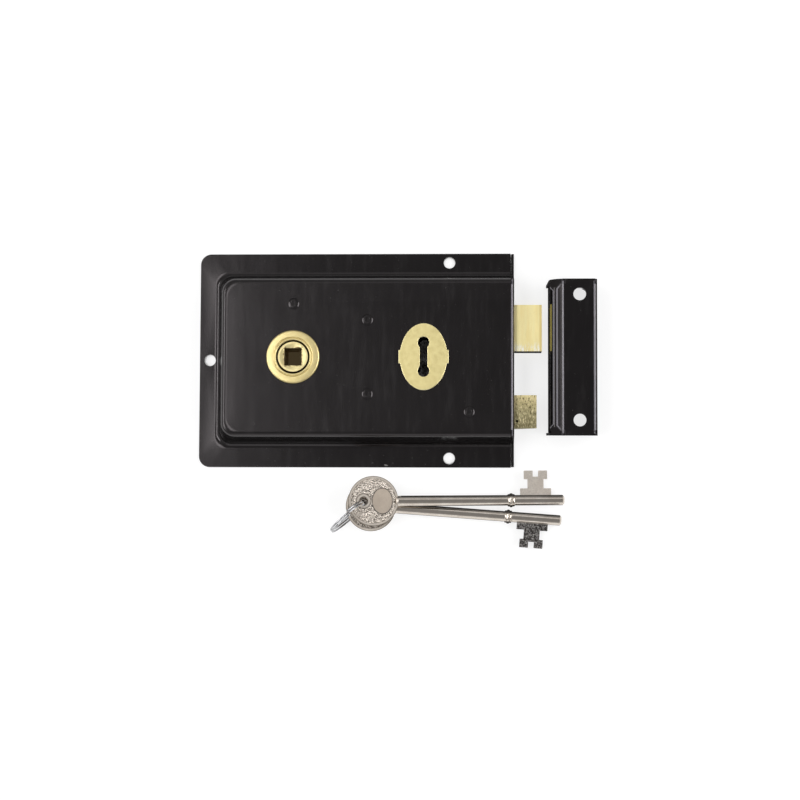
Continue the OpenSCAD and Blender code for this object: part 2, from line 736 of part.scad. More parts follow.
// Box keep: one folded sheet that stoops in three folds over the mouth, with two end walls
module keep() {
    bend = 1.5;
    in = bend - sheet;
    fold = 1.8;
    lip = [keep_lip_x + sheet / 2, keep_lip_z + sheet / 2];
    reach = keep_chin - lip;
    bent = [[keep_top_x, case_d], keep_nose, keep_chin];
    tilt = [0, atan2(keep_nose_drop, keep_slope_in - keep_nose_in),
            atan2(keep_chin_drop, keep_nose_in - keep_chin_in),
            atan2(reach[1], reach[0]) - asin(sheet / 2 / norm(reach))];
    hub = [for (i = [0:2]) bent[i] - fold * [-sin(tilt[i]), cos(tilt[i])]
        + fold * tan((tilt[i + 1] - tilt[i]) / 2) * [cos(tilt[i]), sin(tilt[i])]];
    wrap = concat([[keep_x0, 0]],
        arc([keep_x1 - bend, bend], bend, 270, 360, 6),
        arc([keep_x1 - bend, case_d - bend], bend, 0, 90, 6),
        [for (i = [0:2]) each arc(hub[i], fold, 90 + tilt[i], 90 + tilt[i + 1], 3)],
        arc(lip, sheet / 2, 90 + tilt[3], 270 + tilt[3], 8),
        [for (i = [2:-1:0]) each arc(hub[i], fold - sheet, 90 + tilt[i + 1], 90 + tilt[i], 2)],
        arc([keep_x1 - bend, case_d - bend], in, 90, 0, 6),
        arc([keep_x1 - bend, bend], in, 0, -90, 6),
        [[keep_x0, sheet]]);
    color([0.06, 0.06, 0.065]) difference() {
        union() {
            translate([0, keep_h / 2 - 2.6, 0]) rotate([90, 0, 0])
                linear_extrude(keep_h - 5.2) polygon(wrap);
            keep_end(bend);
            mirror([0, 1, 0]) keep_end(bend);
        }
        for (y = [-keep_hole_y, keep_hole_y]) translate([keep_hole_x, y, 0]) {
            translate([0, 0, case_d / 2]) cylinder(d = keep_hole_d, h = case_d);
            translate([0, 0, -1]) cylinder(d = keep_pierce_d, h = sheet + 2);
        }
    }
}

module keep_end(bend) {
    intersection() {
        translate([0, keep_h / 2, case_d]) rotate([-keep_lean, 0, 0]) translate([0, 0, -case_d - 2])
            rotate([90, 0, 0]) linear_extrude(sheet)
                polygon([[keep_x0 - 0.9, 2], [keep_x1, 2], [keep_x1, case_d + 2 - sheet],
                         [keep_x1 - sheet, case_d + 2], [keep_top_x, case_d + 2],
                         keep_nose + [0, 2], keep_chin + [0, 2], [keep_lip_x, keep_lip_z + 3],
                         [keep_x0, keep_lip_z + 1]]);
        translate([keep_x0 - 5, 0, 0]) cube([keep_w + 10, keep_h, case_d]);
    }
    translate([keep_top_x, keep_h / 2 - 3, case_d - sheet])
        cube([keep_x1 - bend - keep_top_x, 2.6, sheet]);
    translate([keep_x1 - sheet, keep_h / 2 - 3, bend]) cube([sheet, 2, case_d - 2 * bend]);
}

module key_ring() {
    turn = atan2(ring_dir[1], ring_dir[0]);
    color([0.7, 0.7, 0.71]) translate(ring_at) rotate([0, 0, turn])
        polyhedron(tube_points(ring_path, ring_wire / 2, [0, 1, 0]),
                   tube_faces(len(ring_path)), convexity = 10);
}

// Key, lying along +X from the hole in its bow
module key() {
    difference() {
        union() {
            translate([bow_x, 0, -bow_t / 2 + 0.2]) cylinder(d = bow_d, h = bow_t - 0.4);
            for (s = [0, 1]) mirror([0, 0, s]) translate([0, 0, bow_t / 2 - 0.3]) {
                translate([bow_x, 0, 0]) difference() {
                    cylinder(d = bow_d, h = 0.3);
                    translate([0, 0, -1]) cylinder(d = bow_d - 2 * bow_rim, h = 2);
                }
                cylinder(r = boss_r, h = 0.3);
                translate([oval_x, 0, 0]) linear_extrude(0.25) polygon(oval(oval_w, oval_h, 48));
            }
            translate([shank_x, 0, 0]) rotate([0, 90, 0]) rotate_extrude()
                polygon(concat([[0, 0]], arc([shank_d / 2 - 1.5, 1.5], 1.5, -90, 0, 5),
                               [[shank_d / 2, key_len - shank_x - 0.7],
                                [shank_d / 2 - 0.7, key_len - shank_x], [0, key_len - shank_x]]));
            translate([collar_x, 0, 0]) rotate([0, 90, 0]) rotate_extrude()
                polygon(concat([[0, 0]], arc([shank_d / 2, 0.5], 0.5, -90, 30, 4),
                               arc([collar_d / 2 - 1, collar_w / 2], 1, -65, 65, 6),
                               arc([shank_d / 2, collar_w - 0.5], 0.5, -30, 90, 4), [[0, collar_w]]));
            translate([bit_x, 0, -bit_t / 2]) linear_extrude(bit_t) key_bit();
        }
        translate([0, 0, -bow_t]) cylinder(r = hole_r, h = 2 * bow_t);
    }
}

// Outline of the bit: wide foot, ward cuts, and a middle step for the bolt between two lever steps
module key_bit() {
    half = [[bit_w / 2, 0], [bit_w / 2, bit_foot], [bit_waist, bit_foot], [bit_waist, bit_step],
            [bit_head, bit_step], [bit_head, bit_reach], [bolt_step, bit_reach],
            [bolt_step, bit_reach - 2.9]];
    polygon(concat(half, [for (i = [len(half) - 1:-1:0]) [-half[i][0], half[i][1]]]));
}

module key_1() {
    color([0.72, 0.68, 0.6]) translate(key1_at) rotate([0, key1_dip, key1_yaw]) key();
}

module key_2() {
    color([0.7, 0.66, 0.58]) translate(key2_at) rotate([0, key2_dip, key2_yaw]) mirror([0, 1, 0]) key();
}
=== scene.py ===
import json
import math

import bpy
from mathutils import Euler, Matrix, Vector


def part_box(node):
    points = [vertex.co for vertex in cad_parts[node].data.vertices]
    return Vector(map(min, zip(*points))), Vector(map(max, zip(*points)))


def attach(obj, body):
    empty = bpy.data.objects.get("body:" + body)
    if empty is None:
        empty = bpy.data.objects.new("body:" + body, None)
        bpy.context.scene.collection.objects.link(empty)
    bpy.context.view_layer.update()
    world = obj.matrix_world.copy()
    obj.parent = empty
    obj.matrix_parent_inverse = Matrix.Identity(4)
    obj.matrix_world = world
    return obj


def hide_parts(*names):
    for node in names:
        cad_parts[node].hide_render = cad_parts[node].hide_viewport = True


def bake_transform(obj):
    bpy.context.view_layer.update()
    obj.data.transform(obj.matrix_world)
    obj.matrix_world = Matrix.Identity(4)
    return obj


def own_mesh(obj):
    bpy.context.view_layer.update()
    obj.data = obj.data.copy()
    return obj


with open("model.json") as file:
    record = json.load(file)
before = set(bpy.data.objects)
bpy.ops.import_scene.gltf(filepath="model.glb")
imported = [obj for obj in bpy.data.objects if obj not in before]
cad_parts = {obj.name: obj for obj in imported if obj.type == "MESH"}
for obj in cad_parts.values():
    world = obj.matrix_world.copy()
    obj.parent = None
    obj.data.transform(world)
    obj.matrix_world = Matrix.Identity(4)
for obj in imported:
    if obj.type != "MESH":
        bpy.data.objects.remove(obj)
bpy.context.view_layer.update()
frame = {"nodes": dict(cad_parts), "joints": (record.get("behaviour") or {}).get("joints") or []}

# A rim box lock with its keep and two keys. Lengths are in millimetres until
# they reach Blender, and the frame is the CAD's: X to the forend, Y up the
# door, Z off the door.
MM = 0.001
NODES = frame["nodes"]


def corners(node):
    """A CAD node's lowest and highest corner, in millimetres."""
    return [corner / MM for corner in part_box(node)]


def joint(name):
    """A joint of the frame by its name."""
    return next(j for j in frame["joints"] if j["name"] == name)


# Case, escutcheon, rose and follower
CASE_HALF = corners("case")[1].xy
FOREND_FOLD = CASE_HALF.x - 1.1
CHIP_AT, CHIP_SIZE = (14.5, -50.7), (1.5, 0.8)
PLATE_TOP = corners("keyhole_escutcheon")[1].z
SPINDLE = [v / MM for v in joint("follower_turn")["pos_m"][:2]]
SQUARE, HUB_R, ROSE_BORE, ROSE_GROOVE = 8.1, 7.25, 7.65, 8.85

# Bolt heads
BOLT_LOW, BOLT_HIGH = corners("deadbolt_head")
LATCH_Y = (-33.4, -18.0)
PIT_AT, PIT_SIZE = (77.3, -30.1), (0.75, 0.6)

# Keep: X of its folds from the top down, of its right edge and of its lip. Its
# corner pieces reach from the first to the second KEEP_END along Y. They close
# the nose with a folded section, and the base below it with a flat one.
KEEP_FOLDS = (99.0, 96.2, 94.5)
KEEP_EDGE, KEEP_LIP = 113.9, (93.15, 93.65)
KEEP_END = (34.4, 36.3)
NOSE_OUTSIDE = [(100.2, 18.97), (99.0, 18.88), (96.5, 18.06), (94.9, 17.34), (93.3, 15.85)]
NOSE_INSIDE = [(93.9, 15.1), (95.4, 16.4), (96.8, 17.1), (99.1, 17.9), (100.2, 17.95)]
BASE_X, BASE_Z, BASE_REACH = (92.5, 102.0), (0.1, 1.1), 1.2

# Keys, each seen from the hole in its bow with X along the shank
BIT_SIDE = {"key_1": 1, "key_2": -1}
BOW_AT, BOW_R, BOW_RIM, BOW_END = 4.6, 11.9, 1.2, 16.2
OVAL_AT, OVAL_HALF = 8.9, (4.6, 5.9)
HOLE_R, BOSS_FOOT = 2.1, 3.45
SHANK, BIT_X, BIT_Y = (17.0, 95.4), 74.0, 2.2

# Split ring: two turns of wire, which lie a little apart and lean
RING_AT, RING_R, RING_WIRE, RING_PITCH = (-3.0, -75.5, 10.725), 10.3, 0.9, 1.1
RING_TURN, RING_LEAN, RING_START = math.atan2(-0.653, -0.757), math.radians(4), 100
RING_STEPS = 192

# Springs
COIL_X, COIL_LEN, COIL_AT = 9.9, 19.7, (-17.6, 9.5)
COIL_R, COIL_WIRE, COIL_TURNS, COIL_STEPS = 2.85, 0.8, 9, 28
LEAF_SEAT, LEAF_END, LEAF_CHAMFER, LEAF_STEPS = 1.2, -28.8, 0.12, 48

# Enamel shades of the case and of the keep, and the painted shade in the gap round the follower
ENAMEL = ((0.0027, 0.0023, 0.0023), (0.0040, 0.0035, 0.0035))
KEEP_ENAMEL = ((0.0024, 0.0021, 0.0022), (0.0036, 0.0032, 0.0033))
GAP_SHADE = (0.030, 0.018, 0.006)

# Floor: its size, its white, how much it glows, how close a shape dims it,
# and its painted shade under the case and under the spindle's square
FLOOR_HALF, FLOOR_Z = 6000, -0.2
FLOOR_WHITE, FLOOR_GLOW, FLOOR_SHADE = (0.3, 0.3, 0.3), 0.76, 40
SHADE_UNDER_CASE, SHADE_UNDER_SQUARE = (0.03, 0.025, 0.015), (0.040, 0.028, 0.0116)

# Sky: height and colour of its pale foot and its dim top
SKY = ((0.50, (0.42, 0.42, 0.42)), (0.88, (0.24, 0.24, 0.242)))

# Lamps: tilts off the vertical in degrees, distance and size in metres, level
LAMP_AIM = Vector((0.02, -0.01, 0.01))
LAMPS = {
    "left_box": (-21.5, 2, 1.35, (0.307, 1.1), 4.4),
    "left_strip": (-62, 0, 1.3, (0.25, 1.2), 7),
    "right_box": (52, 0, 1.3, (0.55, 1.2), 5.0),
    "back_box": (0, 36, 1.35, (1.3, 0.55), 0.5),
    "front_box": (0, -76, 1.3, (1.4, 0.5), 0.7),
}

# Camera, in metres and degrees
CAMERA_AT, CAMERA_TURN = (0.0644, -0.0885, 0.9621), (4.13, 2.56, 0.22)
LENS, SENSOR, CLIP = 90, 36, (0.01, 50)


# Node trees

class Shader:
    """A Principled material that is built up node by node, in object space."""

    def __init__(self, name, color, metallic=0.0, rough=0.4):
        self.mat = bpy.data.materials.new(name)
        self.mat.use_nodes = True
        self.mat.diffuse_color = (*color, 1)
        self.tree = self.mat.node_tree
        self.tree.nodes.clear()
        self.out = self.node("OutputMaterial").inputs["Surface"]
        self.bsdf = self.node("BsdfPrincipled")
        self.feed(self.out, self.bsdf.outputs[0])
        self.bsdf.inputs["Base Color"].default_value = (*color, 1)
        self.bsdf.inputs["Metallic"].default_value = metallic
        self.bsdf.inputs["Roughness"].default_value = rough
        self.place = self.node("TexCoord").outputs["Object"]
        self.normal = None

    def node(self, kind, **settings):
        made = self.tree.nodes.new("ShaderNode" + kind)
        for key, value in settings.items():
            setattr(made, key, value)
        return made

    def feed(self, socket, value):
        if isinstance(value, bpy.types.NodeSocket):
            self.tree.links.new(value, socket)
        else:
            socket.default_value = value

    def fed(self, name):
        """What feeds the named input of the shader so far."""
        return self.bsdf.inputs[name].links[0].from_socket

    def mapped(self, scale=(1, 1, 1)):
        """Object coordinates in millimetres, each axis times its scale."""
        n = self.node("Mapping")
        self.feed(n.inputs["Vector"], self.place)
        n.inputs["Scale"].default_value = [v / MM for v in scale]
        return n.outputs[0]

    def placed(self, at, turn):
        """Millimetres from a place, along axes that are turned in degrees."""
        n = self.node("Mapping", vector_type="TEXTURE")
        self.feed(n.inputs["Vector"], self.place)
        n.inputs["Location"].default_value = [v * MM for v in at]
        n.inputs["Rotation"].default_value = [math.radians(v) for v in turn]
        n.inputs["Scale"].default_value = (MM, MM, MM)
        return n.outputs[0]

    def noise(self, vector, scale, detail, rough):
        n = self.node("TexNoise")
        self.feed(n.inputs["Vector"], vector)
        n.inputs["Scale"].default_value = scale
        n.inputs["Detail"].default_value = detail
        n.inputs["Roughness"].default_value = rough
        return n.outputs["Fac"]

    def cells(self, vector, scale):
        n = self.node("TexVoronoi")
        self.feed(n.inputs["Vector"], vector)
        n.inputs["Scale"].default_value = scale
        return n.outputs["Distance"]

    def math(self, op, a, b=0.0, clamp=False):
        n = self.node("Math", operation=op, use_clamp=clamp)
        self.feed(n.inputs[0], a)
        self.feed(n.inputs[1], b)
        return n.outputs[0]

    def times(self, first, *others):
        for other in others:
            first = self.math("MULTIPLY", first, other)
        return first

    def most(self, first, *others):
        for other in others:
            first = self.math("MAXIMUM", first, other)
        return first

    def split(self, vector):
        n = self.node("SeparateXYZ")
        self.feed(n.inputs[0], vector)
        return n.outputs

    def join(self, x=0.0, y=0.0, z=0.0):
        n = self.node("CombineXYZ")
        for socket, value in zip(n.inputs, (x, y, z)):
            self.feed(socket, value)
        return n.outputs[0]

    def span(self, value, low, high, to_low=0.0, to_high=1.0, smooth=True):
        """A step from to_low at low to to_high at high, smooth or straight."""
        n = self.node("MapRange", interpolation_type="SMOOTHSTEP" if smooth else "LINEAR")
        self.feed(n.inputs[0], value)
        for i, v in zip((1, 2, 3, 4), (low, high, to_low, to_high)):
            n.inputs[i].default_value = v
        return n.outputs[0]

    def line(self, value, at, half, soft=0.12):
        """One within half of the place at, fading to nothing just beyond it."""
        off = self.math("ABSOLUTE", self.math("SUBTRACT", value, at))
        return self.span(off, half + soft, half - soft)

    def distance(self, x, y, at=(0, 0), radii=(1, 1)):
        """Distance in the plane from a place, each axis over its own radius."""
        dx = self.math("DIVIDE", self.math("SUBTRACT", x, at[0]), radii[0])
        dy = self.math("DIVIDE", self.math("SUBTRACT", y, at[1]), radii[1])
        n = self.node("VectorMath", operation="LENGTH")
        self.feed(n.inputs[0], self.join(dx, dy))
        return n.outputs["Value"]

    def ramp(self, value, *stops):
        n = self.node("ValToRGB")
        self.feed(n.inputs[0], value)
        marks = n.color_ramp.elements
        while len(marks) < len(stops):
            marks.new(0.5)
        for mark, (at, color) in zip(marks, stops):
            mark.position = at
            mark.color = (*color, 1)
        return n.outputs[0]

    def mix(self, factor, a, b):
        n = self.node("Mix", data_type="RGBA")
        self.feed(n.inputs[0], factor)
        for socket, value in ((n.inputs[6], a), (n.inputs[7], b)):
            self.feed(socket, (*value, 1) if isinstance(value, tuple) else value)
        return n.outputs[2]

    def bump(self, height, depth, strength=1.0):
        """Adds a relief of the given depth in millimetres."""
        n = self.node("Bump")
        n.inputs["Distance"].default_value = depth * MM
        self.feed(n.inputs["Strength"], strength)
        self.feed(n.inputs["Height"], height)
        if self.normal is not None:
            self.feed(n.inputs["Normal"], self.normal)
        self.normal = n.outputs[0]
        self.feed(self.bsdf.inputs["Normal"], self.normal)

    def color(self, value):
        self.feed(self.bsdf.inputs["Base Color"], value)

    def rough(self, value):
        self.feed(self.bsdf.inputs["Roughness"], value)

    def dull(self, where):
        """Dead matt where the mask is one."""
        if self.bsdf.inputs["Metallic"].default_value:
            self.feed(self.bsdf.inputs["Metallic"], self.math("SUBTRACT", 1.0, where))
        self.rough(self.most(self.fed("Roughness"), where))


# Materials

def paint(name, shades, rough, peel):
    """Black stoving enamel: faint orange peel, rubbed patches, a little dust."""
    low, high = shades
    s = Shader(name, low, rough=rough)
    p = s.mapped()
    base = s.ramp(s.noise(p, 0.06, 4, 0.6), (0.35, low), (0.65, high))
    dust = s.span(s.noise(p, 1.3, 1, 0.4), 0.775, 0.80)
    rubbed = s.noise(s.mapped((0.30, 0.05, 0.30)), 1.0, 5, 0.65)
    base = s.mix(s.span(rubbed, 0.50, 0.70, 0.0, 0.5), base, (0.0115, 0.0108, 0.0108))
    s.color(s.mix(dust, base, (0.045, 0.043, 0.042)))
    s.bsdf.inputs["Specular Tint"].default_value = (1, 0.925, 0.945, 1)
    s.rough(s.span(rubbed, 0.3, 0.7, rough * 0.93, rough * 1.10))
    s.bump(s.noise(p, 0.8, 2, 0.5), peel)
    return s


def case_paint():
    """The case's enamel, chipped on the lower edge, with a painted highlight along the forend fold."""
    s = paint("case_enamel", ENAMEL, 0.21, 0.0015)
    p = s.mapped()
    x, y, z = s.split(p)
    ragged = s.times(s.noise(p, 1.6, 3, 0.6), 1.2)
    near = s.math("ADD", s.distance(x, y, CHIP_AT, CHIP_SIZE), ragged)
    chip = s.span(near, 1.0, 1.35, 1.0, 0.0)
    base = s.mix(chip, s.fed("Base Color"), (0.16, 0.155, 0.15))
    # painted highlight: a pale band along the forend fold
    fold = s.times(s.line(x, FOREND_FOLD, 0.4), s.span(z, 16.0, 17.0))
    s.color(s.mix(s.times(fold, 0.8), base, (0.20, 0.19, 0.215)))
    # the flange is a little glossier than the face
    s.rough(s.times(s.fed("Roughness"), s.span(z, 4.0, 17.0, 0.92, 1.14)))
    return s.mat


def post_paint():
    """The same enamel over the hammered ends of the staked posts."""
    s = paint("stake_enamel", ENAMEL, 0.22, 0.004)
    p = s.mapped()
    s.bump(s.cells(p, 0.7), 0.04)
    s.bump(s.noise(p, 0.5, 3, 0.6), 0.06)
    return s.mat


def keep_paint():
    """The keep's enamel, with painted highlights along its folds, a painted reflection of the deadbolt on
    its lip, and dull at its ends.
    """
    s = paint("keep_enamel", KEEP_ENAMEL, 0.15, 0.0015)
    x, y, z = s.split(s.mapped())
    end = s.math("ABSOLUTE", y)
    outer_fold, middle_fold, inner_fold = KEEP_FOLDS
    # towards the ends the middle fold runs out and the inner one turns in
    middle = s.math("SUBTRACT", x, s.span(end, 32.4, 35.4, 0.0, 2.4, smooth=False))
    inner = s.math("ADD", x, s.span(end, 31.4, 33.6, 0.0, 1.5))
    straight = s.most(s.line(x, outer_fold, 0.36), s.line(x, KEEP_EDGE, 0.38))
    folds = s.most(
        s.times(s.line(middle, middle_fold, 0.38), s.span(end, 35.2, 32.6, 0.15, 1.0)),
        s.times(s.line(inner, inner_fold, 0.24), s.span(end, 33.9, 33.3)),
        s.times(straight, s.span(end, 36.4, 35.8)))
    # painted highlights along the folds and along the right edge
    fold_highlight = s.times(folds, s.span(z, 14.0, 15.0), 0.85)
    base = s.mix(fold_highlight, s.fed("Base Color"), (0.235, 0.225, 0.245))
    # painted reflection of the deadbolt's brass on the lip and on the base below it
    middle_y, half_y = (BOLT_HIGH.y + BOLT_LOW.y) / 2, (BOLT_HIGH.y - BOLT_LOW.y) / 2
    on_lip = s.times(s.span(x, KEEP_LIP[0] - 0.2, KEEP_LIP[0]),
                     s.span(x, KEEP_LIP[1] + 0.2, KEEP_LIP[1]))
    bolt_reflection = s.times(on_lip, s.line(y, middle_y, half_y), 0.85)
    s.color(s.mix(bolt_reflection, base, (0.30, 0.25, 0.07)))
    corner = s.times(s.span(end, 32.8, 33.4),
                     s.span(middle, middle_fold - 0.3, middle_fold - 0.7))
    ends = s.times(s.span(end, 34.6, 35.0), s.span(x, 100.6, 99.8))
    brink = s.times(s.span(x, KEEP_EDGE + 0.45, KEEP_EDGE + 0.65), s.span(z, 17.6, 18.2))
    s.dull(s.most(corner, ends, brink))
    return s.mat


def turned_brass():
    """The rose: faced on a lathe, so its scratches run round the spindle."""
    s = Shader("turned_brass", (0.86, 0.74, 0.40), 1.0, 0.42)
    p = s.mapped()
    x, y, _ = s.split(p)
    r = s.distance(x, y, SPINDLE)
    wobble = s.times(s.noise(p, 0.5, 2, 0.5), 0.15)
    cuts = s.noise(s.join(r, wobble), 7.0, 3, 0.6)
    mottle = s.noise(p, 0.35, 4, 0.6)
    base = s.ramp(mottle, (0.3, (0.76, 0.62, 0.285)), (0.7, (0.84, 0.715, 0.365)))
    specks = s.span(s.noise(p, 3.2, 2, 0.5), 0.70, 0.75)
    base = s.mix(specks, base, (0.42, 0.34, 0.16))
    # painted shade in the groove round the bored edge
    groove_shade = s.times(s.span(r, ROSE_GROOVE - 0.5, ROSE_GROOVE),
                     s.span(r, ROSE_GROOVE + 0.9, ROSE_GROOVE), 0.15)
    base = s.mix(groove_shade, base, (0.30, 0.22, 0.08))
    # painted shade in the gap at the rose's bore
    s.color(s.mix(s.span(r, ROSE_BORE + 0.32, ROSE_BORE + 0.02), base, GAP_SHADE))
    s.rough(s.span(cuts, 0.3, 0.7, 0.36, 0.50))
    s.bump(cuts, 0.012)
    return s.mat


def pressed_brass():
    """The escutcheon: thin sheet with a soft matt face and rolled edges."""
    s = Shader("pressed_brass", (0.87, 0.755, 0.42), 1.0, 0.45)
    p = s.mapped()
    z = s.split(p)[2]
    mottle = s.noise(p, 0.45, 5, 0.62)
    base = s.ramp(mottle, (0.3, (0.82, 0.70, 0.325)), (0.7, (0.88, 0.77, 0.385)))
    specks = s.span(s.noise(p, 2.4, 3, 0.6), 0.69, 0.75)
    base = s.mix(specks, base, (0.46, 0.38, 0.20))
    # the face is matt, and the rolled edge below it is glossier and painted with a pale highlight
    face = s.span(z, PLATE_TOP - 0.10, PLATE_TOP - 0.01)
    s.color(s.mix(face, (0.98, 0.90, 0.62), base))
    s.rough(s.math("ADD", s.span(mottle, 0.3, 0.7, 0.20, 0.28), s.times(face, 0.20)))
    s.bump(s.noise(p, 2.2, 3, 0.6), 0.010)
    s.bump(s.noise(p, 0.25, 2, 0.5), 0.02)
    return s.mat


def follower_brass():
    """The follower: a turned face, and a broached square gone brown inside."""
    s = Shader("follower_brass", (0.86, 0.73, 0.40), 1.0, 0.4)
    p = s.mapped()
    x, y, _ = s.split(p)
    torn = s.times(s.math("SUBTRACT", s.noise(p, 1.0, 3, 0.7), 0.5), 3.0)
    ax = s.math("ABSOLUTE", s.math("SUBTRACT", x, SPINDLE[0]))
    ay = s.math("ABSOLUTE", s.math("SUBTRACT", y, SPINDLE[1]))
    off = s.math("ADD", s.most(ax, ay), torn)
    inside = s.span(off, SQUARE / 2 + 0.55, SQUARE / 2 + 0.10)
    r = s.distance(x, y, SPINDLE)
    cuts = s.noise(s.join(r), 6.0, 3, 0.6)
    mottle = s.noise(p, 0.5, 4, 0.6)
    base = s.ramp(mottle, (0.3, (0.78, 0.65, 0.31)), (0.7, (0.88, 0.77, 0.42)))
    # broach marks run down the walls of the square
    broach = s.noise(s.mapped((3.0, 3.0, 0.12)), 1.0, 3, 0.6)
    brown = s.ramp(broach, (0.3, (0.10, 0.066, 0.026)), (0.7, (0.42, 0.32, 0.16)))
    base = s.mix(inside, base, brown)
    # painted shade in the gap round the hub
    s.color(s.mix(s.span(r, HUB_R - 0.28, HUB_R - 0.02), base, GAP_SHADE))
    s.rough(s.span(cuts, 0.3, 0.7, 0.32, 0.46))
    s.bump(cuts, 0.010)
    s.bump(broach, 0.10, inside)
    return s.mat


def deadbolt_brass():
    """The deadbolt: linished up and down, and scuffed at its lower end."""
    s = Shader("linished_brass", (0.86, 0.75, 0.44), 1.0, 0.42)
    p = s.mapped()
    x, y, z = s.split(p)
    lines = s.noise(s.mapped((5.0, 0.10, 5.0)), 1.0, 4, 0.65)
    soft = s.noise(s.mapped((0.5, 0.06, 0.5)), 1.0, 3, 0.6)
    base = s.ramp(soft, (0.3, (0.95, 0.81, 0.40)), (0.7, (1.0, 0.90, 0.50)))
    streaks = s.noise(s.mapped((1.3, 0.22, 1.3)), 1.0, 3, 0.6)
    scuffed = s.times(s.span(y, BOLT_LOW.y + 5.1, BOLT_LOW.y + 1.3), s.span(streaks, 0.46, 0.58))
    base = s.mix(scuffed, base, (0.99, 0.96, 0.82))
    # its end is browner, and its underside is painted dark as shade and made matt
    tip = s.span(x, BOLT_HIGH.x - 1.3, BOLT_HIGH.x - 0.9)
    base = s.mix(s.times(tip, 0.5), base, (0.62, 0.45, 0.15))
    under = s.times(s.span(z, BOLT_HIGH.z - 0.05, BOLT_HIGH.z - 0.25),
                    s.span(y, BOLT_LOW.y + 0.45, BOLT_LOW.y + 0.3))
    base = s.mix(under, base, (0.010, 0.007, 0.004))
    pits = s.span(s.noise(p, 3.0, 2, 0.5), 0.71, 0.76)
    s.color(s.mix(pits, base, (0.42, 0.34, 0.17)))
    s.rough(s.span(lines, 0.3, 0.7, 0.42, 0.58))
    s.dull(under)
    s.bump(lines, 0.012)
    return s.mat


def latch_brass():
    """The latch: left rough from the sand, darker towards its lower end."""
    s = Shader("cast_brass", (0.60, 0.52, 0.32), 1.0, 0.5)
    x, y, _ = s.split(s.mapped())
    up = s.span(y, *LATCH_Y, smooth=False)
    shade = s.ramp(up, (0.0, (0.25, 0.22, 0.12)), (0.5, (0.40, 0.35, 0.195)),
                   (0.85, (0.62, 0.53, 0.29)), (1.0, (0.80, 0.69, 0.38)))
    sand = s.noise(s.mapped((1.7, 0.7, 1.7)), 1.0, 4, 0.72)
    base = s.mix(s.span(sand, 0.53, 0.66), shade, (0.84, 0.74, 0.46))
    base = s.mix(s.span(sand, 0.47, 0.37), base, (0.14, 0.115, 0.055))
    pit = s.span(s.distance(x, y, PIT_AT, PIT_SIZE), 1.0, 0.75)
    s.color(s.mix(pit, base, (0.006, 0.005, 0.004)))
    s.rough(s.span(sand, 0.3, 0.7, 0.62, 0.46))
    s.bump(sand, 0.09)
    return s.mat


def rolled_sheet(name, color, rough):
    """Plain inner metalwork: rolled sheet with fine scratches along X."""
    s = Shader(name, color, 1.0, rough)
    rolled = s.noise(s.mapped((0.10, 4.0, 4.0)), 1.0, 4, 0.65)
    stain = s.noise(s.mapped(), 0.12, 4, 0.6)
    dark = tuple(0.72 * c for c in color)
    s.color(s.ramp(stain, (0.3, dark), (0.7, color)))
    s.rough(s.span(rolled, 0.3, 0.7, rough * 0.8, rough * 1.25))
    s.bump(rolled, 0.008)
    return s.mat


def drawn_wire(name, color, rough):
    """Springs, screws and the split ring: drawn, with a little soil in places."""
    s = Shader(name, color, 1.0, rough)
    p = s.mapped()
    soil = s.noise(p, 0.8, 4, 0.65)
    dark = tuple(0.45 * c for c in color)
    s.color(s.ramp(soil, (0.25, dark), (0.5, color)))
    s.rough(s.span(soil, 0.3, 0.7, rough * 1.5, rough * 0.8))
    s.bump(s.noise(p, 4.0, 2, 0.5), 0.006)
    return s.mat


def key_place(node):
    """Where the hole in a key's bow is, and how the key is turned, in degrees."""
    swing = joint(node + "_swing")
    x, y, z = swing["axis"]
    dip, yaw = math.degrees(math.acos(z)), math.degrees(math.atan2(y, x))
    return [v / MM for v in swing["pos_m"]], (0, dip, yaw)


